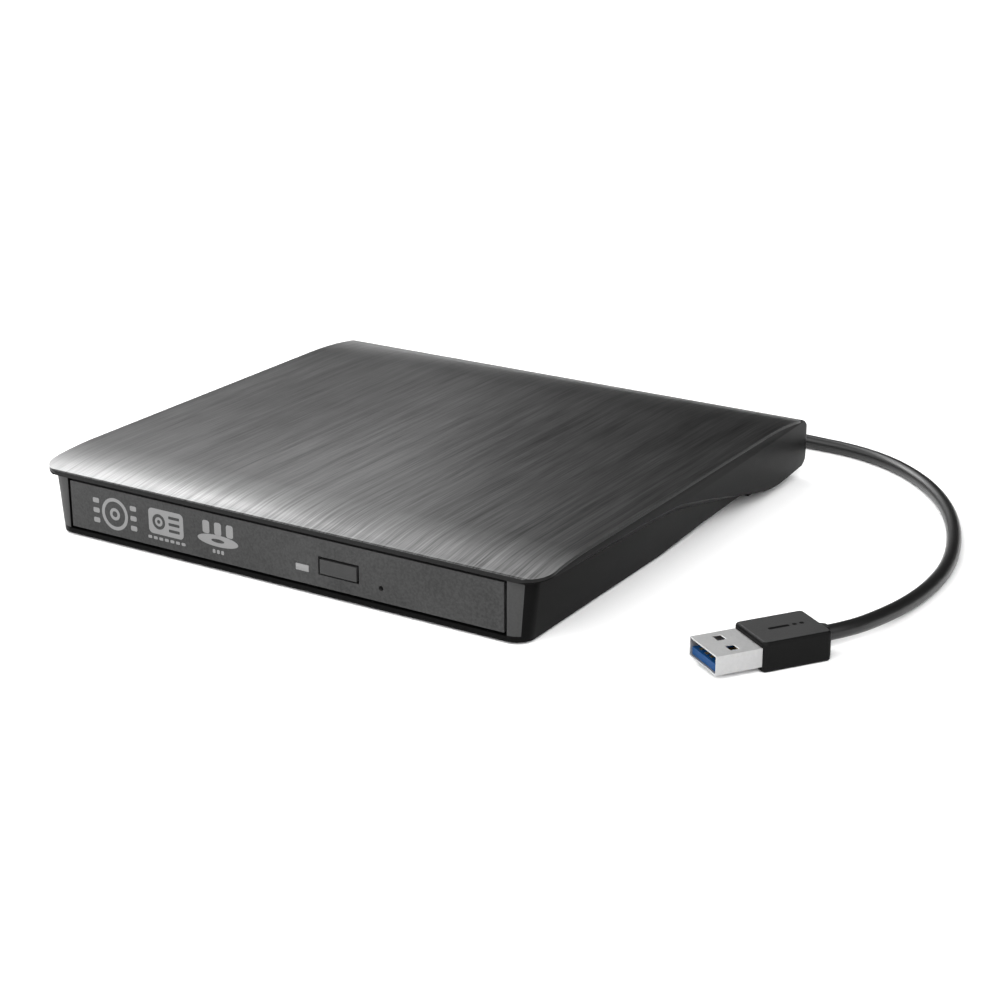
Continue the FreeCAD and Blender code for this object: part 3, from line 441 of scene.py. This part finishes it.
BOARD_FINISH = moulded("solder_mask_green", (0.006, 0.075, 0.030, 1), (0.010, 0.12, 0.048, 1), (0.3, 0.42),
                       900.0,
                       0.1, coat=0.3)
CHIP_FINISH = moulded("chip_epoxy", grey(0.018), grey(0.030), (0.5, 0.65), 3800.0, 0.3)
WHITE_FINISH = moulded("natural_plastic", grey(0.55, 0.03), grey(0.66, 0.03), (0.4, 0.55), 2800.0, 0.2)
AMBER_FINISH = moulded("amber_resin", (0.30, 0.16, 0.05, 1), (0.40, 0.22, 0.08, 1), (0.35, 0.5), 3000.0,
                       0.2)
FERRITE_FINISH = moulded("magnet_nickel", grey(0.32), grey(0.42), (0.3, 0.42), 2400.0, 0.12, metallic=0.9)
CAST_FINISH = moulded("sled_casting", grey(0.36), grey(0.50), (0.42, 0.58), 1700.0, 0.35, 0.00005,
                      metallic=0.9)
FILM_FINISH = moulded("flex_film", (0.42, 0.20, 0.035, 1), (0.52, 0.27, 0.06, 1), (0.25, 0.38), 1200.0, 0.1)
COIL_FINISH = moulded("enamelled_copper", (0.50, 0.17, 0.05, 1), (0.66, 0.26, 0.09, 1), (0.28, 0.4), 3400.0,
                      0.3,
                      metallic=0.9)
WIRE_FINISH = moulded("wire_jacket", (0.32, 0.02, 0.015, 1), (0.42, 0.03, 0.02, 1), (0.4, 0.5), 3000.0, 0.1)


def lens_material():
    material, tree, shader = new_material("lens_coated")
    shader.inputs["Base Color"].default_value = (0.35, 0.45, 0.85, 1)
    shader.inputs["Roughness"].default_value = 0.05
    shader.inputs["Transmission Weight"].default_value = 0.6
    return material


LENS_FINISH = lens_material()
print(len(bpy.data.materials), "materials")

# %% [markdown]
# ## The cable
#
# The cable is soft and about 3.7 mm thick.  It leaves the stowage groove behind the roll, turns
# right and comes round the case in one open loop to its plug.  A NURBS spline of order 3 through
# control points gives one smooth line, as a real cable has, where a bent polyline would kink.

# %% Cable
ROUTE = [
    (36.0, 137.5, 7.3), (36.0, 145.2, 7.0), (39.8, 152.2, 5.6), (46.6, 156.9, 3.7), (55.5, 159.4, 2.2),
    (66.0, 160.4, 1.4), (79.0, 159.9, 1.3), (91.5, 155.7, 1.3), (103.5, 147.3, 1.3), (114.3, 135.3, 1.3),
    (123.2, 120.3, 1.3), (129.9, 103.0, 1.3), (133.2, 88.5, 1.3), (134.1, 75.0, 1.4), (133.3, 62.0, 1.7),
    (131.4, 50.5, 2.3), (129.0, 41.0, 2.9), (125.6, 35.5, 3.0),
]
CABLE_RADIUS = 1.85 * MM


def at(across, back, up):
    """A point given as across, back from the drawer front and up from the base, in millimetres."""
    return Vector((across * MM, FRONT + back * MM, FLOOR + up * MM))


cable_data = bpy.data.curves.new("usb_cable_line", "CURVE")
cable_data.dimensions = "3D"
spline = cable_data.splines.new("NURBS")
spline.points.add(len(ROUTE) - 1)
for point, place in zip(spline.points, ROUTE):
    point.co = (*at(*place), 1.0)
spline.order_u = 3
spline.use_endpoint_u = True
spline.resolution_u = 14
cable_data.bevel_depth = CABLE_RADIUS
cable_data.bevel_resolution = 7
cable_data.use_fill_caps = True
cable = bpy.data.objects.new("usb_cable_line", cable_data)
bpy.context.scene.collection.objects.link(cable)
cable.data.materials.append(CABLE_FINISH)
print("cable through", len(ROUTE), "points")

# %% [markdown]
# ## More modelling helpers
#
# `turned` makes anything round: it starts as one disc and is pushed out along its axis step by
# step, changing radius at each step, the way a lathe shows a shape.  `turn_to` lays such a piece
# along another direction.  `plate` makes a flat rounded plate, and `ring` a flat annulus.

# %% Round, flat and ring pieces
def edit(piece):
    alone(piece)
    bpy.ops.object.mode_set(mode="EDIT")
    bpy.ops.mesh.select_all(action="SELECT")


def done(piece):
    bpy.ops.object.mode_set(mode="EDIT")
    bpy.ops.mesh.select_all(action="SELECT")
    bpy.ops.mesh.normals_make_consistent(inside=False)
    bpy.ops.object.mode_set(mode="OBJECT")
    return piece


def turned(name, stations, vertices=40):
    """Solid of revolution about +Z from (height, radius) stations in millimetres."""
    bpy.ops.object.select_all(action="DESELECT")
    height, radius = stations[0]
    bpy.ops.mesh.primitive_circle_add(vertices=vertices, radius=radius * MM, fill_type="NGON",
                                      location=(0, 0, height * MM))
    piece = bpy.context.object
    piece.name = name
    settle(piece)
    edit(piece)
    for next_height, next_radius in stations[1:]:
        bpy.ops.mesh.extrude_region_move(
            TRANSFORM_OT_translate={"value": (0, 0, (next_height - height) * MM)})
        share = next_radius / radius
        bpy.ops.transform.resize(value=(share, share, 1))
        height, radius = next_height, next_radius
    return done(piece)


def turn_to(piece, direction, place):
    """Lay a piece drawn along +Z along a direction, with its origin at a place."""
    piece.rotation_euler = Vector(direction).to_track_quat("Z", "Y").to_euler()
    piece.location = place
    settle(piece)
    return piece


def ring(name, outer, inner, height, vertices=64):
    """Flat annulus about +Z: a disc, inset, with its middle removed, then given thickness."""
    bpy.ops.object.select_all(action="DESELECT")
    bpy.ops.mesh.primitive_circle_add(vertices=vertices, radius=outer * MM, fill_type="NGON")
    piece = bpy.context.object
    piece.name = name
    edit(piece)
    bpy.ops.mesh.inset(thickness=(outer - inner) * MM)
    bpy.ops.mesh.delete(type="FACE")
    bpy.ops.mesh.select_all(action="SELECT")
    bpy.ops.mesh.extrude_region_move(TRANSFORM_OT_translate={"value": (0, 0, height * MM)})
    return done(piece)


def plate(name, width, depth, height, corner=0.0):
    """Flat plate on the XY plane with rounded corners in plan."""
    bpy.ops.object.select_all(action="DESELECT")
    bpy.ops.mesh.primitive_plane_add(size=1)
    piece = bpy.context.object
    piece.name = name
    piece.scale = (width * MM, depth * MM, 1)
    settle(piece)
    edit(piece)
    if corner > 0:
        bpy.ops.mesh.bevel(offset=corner * MM, segments=6, affect="VERTICES")
        bpy.ops.mesh.select_all(action="SELECT")
    bpy.ops.mesh.extrude_region_move(TRANSFORM_OT_translate={"value": (0, 0, height * MM)})
    return done(piece)


# %% [markdown]
# ## Brushed lid and case
#
# The lid's skin is one sheet that rolls over at the front and runs into the roll at the back.
# Its edge isn't brushed, so the faces round the edge get a second, darker finish.  The case
# itself is satin black plastic.  The walls of its base lean outwards towards the lid, and the two
# posts beside the drawer carry a lighter texture on their front faces, whose lighter grey is partly
# painted light: the light from the front on faces that look forward.

# %% Lid
lid = from_cad("top_panel", 0.22, 3)
stands_for(lid, "top_panel", LID_FINISH)
edge_faces = second_finish(lid, LIP_FINISH, lambda face: face.normal.z < 0.5)
print("lid:", len(lid.data.polygons), "faces,", edge_faces, "round its edge")

# %% Frame and liner
for node, edge in (("upper_frame", 0.35), ("cable_channel", 0.2)):
    stands_for(from_cad(node, edge, 3, smooth=22), node, CASE_FINISH)

# %% Base with leaning walls
LEAN = 1.7 * MM                         # how far the walls lean out at their top
LEAN_FROM = 1.0 * MM                    # height where the lean starts
LEAN_HEIGHT = 12.0 * MM                 # height over which it grows
WALL_FROM = 65.5 * MM                   # what is further out than this leans
WALL_DEPTH = 3.0 * MM                   # depth over which the lean fades in
base = from_cad("base_shell", 0.5, 3, smooth=22)
for vertex in base.data.vertices:
    climb = min(max((vertex.co.z - FLOOR - LEAN_FROM) / LEAN_HEIGHT, 0.0), 1.0)
    nearness = min(max((abs(vertex.co.x) - WALL_FROM) / WALL_DEPTH, 0.0), 1.0)
    vertex.co.x += math.copysign(LEAN * climb * nearness, vertex.co.x)
SILL_GAP = 0.3 * MM
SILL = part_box("tray_bezel")[0].z - SILL_GAP
edit(base)
bpy.ops.mesh.bisect(plane_co=(0, 0, SILL), plane_no=(0, 0, 1))
bpy.ops.object.mode_set(mode="OBJECT")
stands_for(base, "base_shell", CASE_FINISH)
# Forward-facing faces of the posts get the textured finish; its lighter grey is painted light from the
# front.
rim_faces = second_finish(base, RIM_TEXTURE_AND_PAINTED_LIGHT, lambda face: face.normal.y < -0.85 and face.center.z > SILL)
print("base:", len(base.data.polygons), "faces,", rim_faces, "on the posts beside the drawer")

# %% [markdown]
# ## Drawer front
#
# The front carries a textured plate, a satin button, a small light window and the pin hole of
# the emergency release.  The plate and the button are trimmed a little to leave clear dark gaps
# round them.  Three printed symbols say what the drive does; here they are plain shapes: a disc,
# a rounded tile with marks, and slanted bars over a flat oval.  Each is a film of ink 0.02 mm
# thick standing on the plate.

# %% Drawer front, button and light
def trim(piece, width, height):
    """Narrow a piece about its own middle by a width and a height in millimetres."""
    places = [vertex.co for vertex in piece.data.vertices]
    low = Vector(min(place[axis] for place in places) for axis in range(3))
    high = Vector(max(place[axis] for place in places) for axis in range(3))
    size = high - low
    edit(piece)
    bpy.ops.transform.resize(value=(1 - width * MM / size.x, 1, 1 - height * MM / size.z),
                             center_override=(low + high) / 2)
    bpy.ops.object.mode_set(mode="OBJECT")
    return piece


PLATE_TRIM = (0.5, 0.4)
BUTTON_TRIM = (0.55, 0.5)
bezel = trim(from_cad("tray_bezel", 0.22, 2), *PLATE_TRIM)
stands_for(bezel, "tray_bezel", BEZEL_FINISH)
button = trim(from_cad("eject_button", 0.35, 3), *BUTTON_TRIM)
stands_for(button, "eject_button", BUTTON_FINISH)
stands_for(from_cad("led_lens", 0.15, 2), "led_lens", LIGHT_FINISH)
for piece in (bezel, button):
    keep_faces_flat(piece)
    print(piece.name, "is", [round(side / MM, 2) for side in piece.dimensions], "mm")

# %% Printed symbols
INK = 0.02                              # thickness of the ink
DISC_PLACE = (-49.5, 7.8)               # across and up on the drawer front
TILE_PLACE = (-33.15, 8.6)
TILE_RING_PLACE = (-35.4, 8.6)
OVAL_PLACE = (-17.1, 7.3)


def on_front(piece, across, up):
    """Stand a flat piece, drawn in the XY plane, on the drawer front."""
    piece.rotation_euler = (math.radians(90), 0, 0)
    piece.location = at(across, 0, up)
    settle(piece)
    return piece


def bar(across, up, width, height, slant=0.0):
    piece = plate("ink_bar", width, height, INK, min(width, height) * 0.3)
    if slant:
        edit(piece)
        for vertex_sign in (1, -1):
            bpy.ops.object.mode_set(mode="OBJECT")
            for vertex in piece.data.vertices:
                vertex.select = vertex.co.y * vertex_sign > 0
            bpy.ops.object.mode_set(mode="EDIT")
            bpy.ops.transform.translate(value=(slant * vertex_sign * MM / 2, 0, 0))
        bpy.ops.object.mode_set(mode="OBJECT")
    return on_front(piece, across, up)


disc_symbol = [on_front(ring("ink_ring", 4.2, 3.3, INK), *DISC_PLACE),
               on_front(ring("ink_hub", 1.6, 0.8, INK, 32), *DISC_PLACE)]
for side in (-1, 1):
    for step in (-1, 0, 1):
        disc_symbol.append(bar(DISC_PLACE[0] + side * 6.0, DISC_PLACE[1] + step * 2.6, 2.0, 1.3))
tile_symbol = [on_front(plate("ink_tile", 10.9, 6.6, INK, 1.2), *TILE_PLACE)]
tile_symbol += [bar(-38.4 + 1.75 * step, 4.2, 1.2, 0.75) for step in range(7)]
bars_symbol = [bar(-20.6 + 3.6 * step, 10.35, 2.1, 3.3, 0.9) for step in range(3)]
oval = ring("ink_oval", 6.2, 2.0, INK)
oval.scale = (1.0, 0.24, 1.0)
settle(oval)
bars_symbol += [on_front(oval, *OVAL_PLACE)]
bars_symbol += [bar(-18.4 + 1.3 * step, 4.5, 0.8, 1.0) for step in range(3)]
symbols = {"symbol_disc": disc_symbol, "symbol_tile": tile_symbol, "symbol_bars": bars_symbol}
for name, pieces in symbols.items():
    rides_with(join(pieces, name), "tray_bezel", INK_FINISH)

# %% Marks on the tile, standing on its ink
tile_marks = [on_front(ring("tile_ring", 2.0, 1.2, INK, 32), *TILE_RING_PLACE),
              on_front(turned("tile_dot", [(0, 0.5), (INK, 0.5)], 24), *TILE_RING_PLACE)]
tile_marks += [bar(-30.6, 6.9 + 1.7 * step, 3.4, 0.75) for step in range(3)]
for mark in tile_marks:
    mark.location = (0, -INK * MM, 0)
    settle(mark)
rides_with(join(tile_marks, "symbol_tile_marks"), "tray_bezel", BEZEL_FINISH)
print("symbols stand", INK, "mm proud of the drawer front")

# %% [markdown]
# ## Cable exit, cable and plug
#
# The boot where the cable leaves is a soft ribbed cone that spreads the bend.  The plug is a
# moulded grip with well rounded edges round a folded metal shell.

# %% Boot
BOOT_START = (36.0, 129.78, 7.3)        # where the boot meets its housing
boot_stations = [(0, 2.6), (1.4, 2.6), (1.5, 3.6), (2.2, 3.6)]
for step in range(4):
    start, radius = 2.4 + 1.35 * step, 3.5 - 0.26 * step
    boot_stations += [(start, radius - 0.45), (start + 0.45, radius - 0.5), (start + 0.55, radius - 0.08),
                      (start + 1.15, radius - 0.14)]
boot_stations += [(7.7, 2.3)]
boot = turn_to(turned("cable_boot", boot_stations), (0, 1, 0), at(*BOOT_START))
keep_edges_soft(boot, 0.06 * MM, 2)
stands_for(boot, "cable_gland", GRIP_FINISH)

# %% Plug
PLUG_TURN = math.radians(55.5)
PLUG_AXIS = Vector((-math.cos(PLUG_TURN), -math.sin(PLUG_TURN), 0))
PLUG_SIDE = Vector((PLUG_AXIS.y, -PLUG_AXIS.x, 0))


def on_plug(along, side, up):
    """A point in the plug's own axes, in millimetres from the cable's end."""
    return at(*ROUTE[-1]) + (PLUG_AXIS * along + PLUG_SIDE * side) * MM + Vector((0, 0, up * MM))


GRIP_LENGTH, GRIP_WIDTH, GRIP_HEIGHT = 17.4, 13.4, 7.2
GRIP_MIDDLE = 11.0                      # from the cable's end
grip = plate("plug_grip_body", GRIP_LENGTH, GRIP_WIDTH, GRIP_HEIGHT, 1.2)
keep_edges_soft(grip, 0.75 * MM, 4, 50)
grip.rotation_euler = (0, 0, PLUG_TURN + math.pi)
grip.location = on_plug(GRIP_MIDDLE, 0, -GRIP_HEIGHT / 2)
settle(grip)
neck = turned("plug_neck", [(0.0, 2.25), (2.0, 2.75), (3.0, 3.1)], 32)
turn_to(neck, PLUG_AXIS, on_plug(0, 0, 0))
grip = join([grip, neck], "plug_grip_body")
keep_faces_flat(grip)
stands_for(grip, "plug_overmold", GRIP_FINISH)
# Faces looking up get the matte top, whose lighter grey is painted light from above as well as a real matte
# surface.
second_finish(grip, GRIP_TOP_MATTE_AND_PAINTED_LIGHT, lambda face: face.normal.z > 0.85)
shell = from_cad("plug_shell", 0.12, 2)
keep_faces_flat(shell)
stands_for(shell, "plug_shell", PLUG_METAL)
tongue = from_cad("plug_tongue", 0.05, 1)
stands_for(tongue, "plug_tongue", TONGUE_FINISH)
contacts = from_cad("plug_contacts", 0, 1)
stands_for(contacts, "plug_contacts", GOLD_FINISH)

# %% Marks on the plug, and the cord they ride on
grip_marks = []
for along, length in ((6.4, 1.0), (8.2, 1.0), (12.2, 5.2)):
    mark = plate("grip_mark", length, 0.9, 0.03, 0.3)
    mark.rotation_euler = (0, 0, PLUG_TURN + math.pi)
    mark.location = on_plug(along, 0.0, GRIP_HEIGHT / 2)
    settle(mark)
    grip_marks.append(mark)
grip_marks = join(grip_marks, "plug_direction_mark")
rides_with(grip_marks, "plug_overmold", CASE_FINISH)
dimple = ring("plug_dimple", 0.95, 0.62, 0.02, 28)
dimple.location = on_plug(22.3, 2.2, 2.25)
settle(dimple)
rides_with(dimple, "plug_shell", PLUG_METAL)

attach(cable, "enclosure")
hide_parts("usb_cable")

# %% [markdown]
# ## Tray and mechanism
#
# These show when the drawer is open.  Springs, threads and windings are what a CAD stand-in
# leaves plain, so they are modelled here in full.

# %% Lead screw with its thread
SPINDLE_BACK = 64.5                     # from the drawer front to the turntable's axis
ALONG = Vector((-math.sqrt(0.5), -math.sqrt(0.5), 0))
ACROSS = Vector((math.sqrt(0.5), -math.sqrt(0.5), 0))


def on_deck(along, across, up):
    """A point in the mechanism's axes: along the pickup's travel, across it, and up."""
    return at(0, SPINDLE_BACK, up) + (ALONG * along + ACROSS * across) * MM


def helix(name, radius, wire, pitch, turns, steps=24, thick=6):
    """Round wire wound about +Z: a small circle swept by a screw modifier."""
    bpy.ops.object.select_all(action="DESELECT")
    bpy.ops.mesh.primitive_circle_add(vertices=thick, radius=wire * MM, rotation=(math.pi / 2, 0, 0))
    piece = bpy.context.object
    piece.name = name
    settle(piece)
    edit(piece)
    bpy.ops.transform.translate(value=(radius * MM, 0, 0))
    bpy.ops.object.mode_set(mode="OBJECT")
    screw = piece.modifiers.new("wind", "SCREW")
    screw.axis = "Z"
    screw.angle = 2 * math.pi
    screw.screw_offset = pitch * MM
    screw.iterations = turns
    screw.steps = steps
    screw.render_steps = steps
    apply_modifiers(piece)
    return done(piece)


THREAD_PITCH = 1.5
THREAD_TURNS = 30
# Known fault: this piece lies at across -17.4, while its CAD node and its joint's axis are at
# across +17.4.  It passes through a deck screw, and swings round that axis as the joint turns.
screw_core = turned("screw_core", [(0, 0.68), (49.4, 0.68)], 24)
screw_thread = helix("screw_thread", 0.78, 0.30, THREAD_PITCH, THREAD_TURNS, 20, 6)
screw_thread.location = (0, 0, 2.3 * MM)
settle(screw_thread)
lead_screw = join([screw_core, screw_thread], "lead_screw_threaded")
turn_to(lead_screw, ALONG, on_deck(9.2, -17.4, 5.1))
bpy.ops.object.shade_smooth_by_angle(angle=math.radians(50))
stands_for(lead_screw, "lead_screw", BRIGHT_STEEL)
print("thread:", THREAD_TURNS, "turns, ridges", THREAD_PITCH, "mm apart")

# %% Button spring
spring = helix("button_spring_wound", 0.75, 0.13, 0.45, 5, 24, 8)
turn_to(spring, (0, 1, 0), at(22.6, 3.3, 6.2))
stands_for(spring, "button_spring", BRIGHT_STEEL)
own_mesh(spring)

# %% Latch coil
winding_stations = [(0, 1.0), (1.9, 1.0), (2.0, 2.3), (2.3, 2.3)]
for step in range(17):
    winding_stations += [(2.35 + 0.4 * step, 1.85), (2.55 + 0.4 * step, 2.08)]
winding_stations += [(9.2, 2.3), (9.5, 2.3), (9.6, 1.0), (12.0, 1.0)]
winding = turn_to(turned("latch_winding", winding_stations, 32), (1, 0, 0), at(33.5, 27.0, 5.4))
stands_for(winding, "latch_solenoid", COIL_FINISH)

# %% Objective lens
bpy.ops.object.select_all(action="DESELECT")
bpy.ops.mesh.primitive_uv_sphere_add(segments=40, ring_count=24, radius=2.1 * MM)
lens = bpy.context.object
lens.name = "objective_dome"
edit(lens)
bpy.ops.mesh.bisect(plane_co=(0, 0, 0.2 * MM), plane_no=(0, 0, 1), clear_inner=True, use_fill=True)
bpy.ops.object.mode_set(mode="OBJECT")
lens.scale = (1.0, 1.0, 0.45)
lens.location = on_deck(24.5, 0, 7.82)
settle(lens)
bpy.ops.object.shade_smooth_by_angle(angle=math.radians(38))
stands_for(lens, "objective_lens", LENS_FINISH)

# %% Flat cable, kept where the CAD frame puts it
flex = from_cad("flex_cable", 0)
flex.data.materials.append(FILM_FINISH)
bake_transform(flex)
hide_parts("flex_cable")

# %% Everything else keeps its CAD shape with softened edges
FINISH_OF_SLOT = {
    "tray_plastic": TRAY_FINISH, "steel_sheet": SHEET_STEEL, "bright_steel": BRIGHT_STEEL,
    "screw_steel": BLACK_STEEL, "circuit_board": BOARD_FINISH, "chip_plastic": CHIP_FINISH,
    "connector_plastic": CHIP_FINISH, "rubber": RUBBER_FINISH, "wire_jacket": WIRE_FINISH,
    "sled_metal": CAST_FINISH, "ferrite": FERRITE_FINISH, "amber_plastic": AMBER_FINISH,
    "white_plastic": WHITE_FINISH,
}
SLOT_OF = {entry["node"]: entry["material_slot"] for entry in frame["record"]["subparts"]}
EDGE_OF = {"tray": 0.25, "rubber_feet": 0.2, "mechanism_deck": 0.06, "pickup_sled": 0.15, "drive_pan": 0.1}
FINISHED.update(("usb_cable", "flex_cable"))
for node in frame["nodes"]:
    if node not in FINISHED:
        piece = from_cad(node, EDGE_OF.get(node, 0.08))
        keep_faces_flat(piece)
        stands_for(piece, node, FINISH_OF_SLOT[SLOT_OF[node]])

# %% [markdown]
# ## Stage and light
#
# The drive stands on a plain pale floor.  Four weak softboxes stand behind it to the left, where
# the lid mirrors them towards the camera, and fade towards the back.  Wide lights in front and at
# the right keep the shadows pale.  The sky is bright in front and dim behind, so the lid stays dark.

# %% Floor
bpy.ops.object.select_all(action="DESELECT")
bpy.ops.mesh.primitive_plane_add(size=6.0, location=(0, 0, 0))
floor = bpy.context.object
floor.name = "floor"
floor_material, floor_tree, floor_shader = new_material("pale_floor")
floor_shader.inputs["Base Color"].default_value = (0.93, 0.93, 0.93, 1)
floor_shader.inputs["Roughness"].default_value = 0.9
floor_shader.inputs["Specular IOR Level"].default_value = 0.1
floor.data.materials.append(floor_material)

# %% Lights
def soft_light(name, place, target, size, power):
    data = bpy.data.lights.new(name, "AREA")
    data.shape = "RECTANGLE"
    data.size, data.size_y = size
    data.energy = power
    light = bpy.data.objects.new(name, data)
    light.location = place
    light.rotation_euler = (Vector(target) - Vector(place)).to_track_quat("-Z", "Y").to_euler()
    bpy.context.scene.collection.objects.link(light)
    return light


def from_direction(azimuth, elevation, distance):
    """A place round the drive: azimuth in degrees left of straight back."""
    turn, rise = math.radians(azimuth), math.radians(elevation)
    return (-distance * math.sin(turn) * math.cos(rise), distance * math.cos(turn) * math.cos(rise),
            distance * math.sin(rise))


SOFTBOXES = (("low_left", 68, 31, 3.3), ("left", 62, 40, 2.5), ("low_behind", 46, 32, 0.9),
             ("high_behind", 37, 50, 1.9))
for name, azimuth, elevation, power in SOFTBOXES:
    soft_light(name, from_direction(azimuth, elevation, 0.95), (0, 0, 0), (0.40, 0.34), power)
soft_light("front_fill", from_direction(195, 45, 1.8), (0, 0, 0), (1.4, 1.0), 12)
soft_light("right_fill", from_direction(-105, 42, 1.6), (0.1, 0, 0), (1.2, 1.0), 11)

# %% Bright towards the front, dim behind, pale at the horizon
world = bpy.data.worlds.new("studio")
bpy.context.scene.world = world
world.use_nodes = True
sky = world.node_tree
direction = make_node(sky, "ShaderNodeTexCoord").outputs["Generated"]
parts = make_node(sky, "ShaderNodeSeparateXYZ")
sky.links.new(direction, parts.inputs["Vector"])
HORIZON, BACK_SKY, FRONT_SKY = 0.95, 0.03, 2.6
horizon = spread(sky, parts.outputs["Z"], 0.0, 0.06, HORIZON, BACK_SKY)
front = spread(sky, parts.outputs["Y"], -0.05, -0.5, 0.0, FRONT_SKY)
level = make_node(sky, "ShaderNodeMath", operation="MAXIMUM")
sky.links.new(horizon, level.inputs[0])
sky.links.new(front, level.inputs[1])
sky.links.new(level.outputs[0], sky.nodes["Background"].inputs["Strength"])
sky.nodes["Background"].inputs["Color"].default_value = (1, 1, 1, 1)
bpy.context.scene.view_settings.view_transform = "Standard"
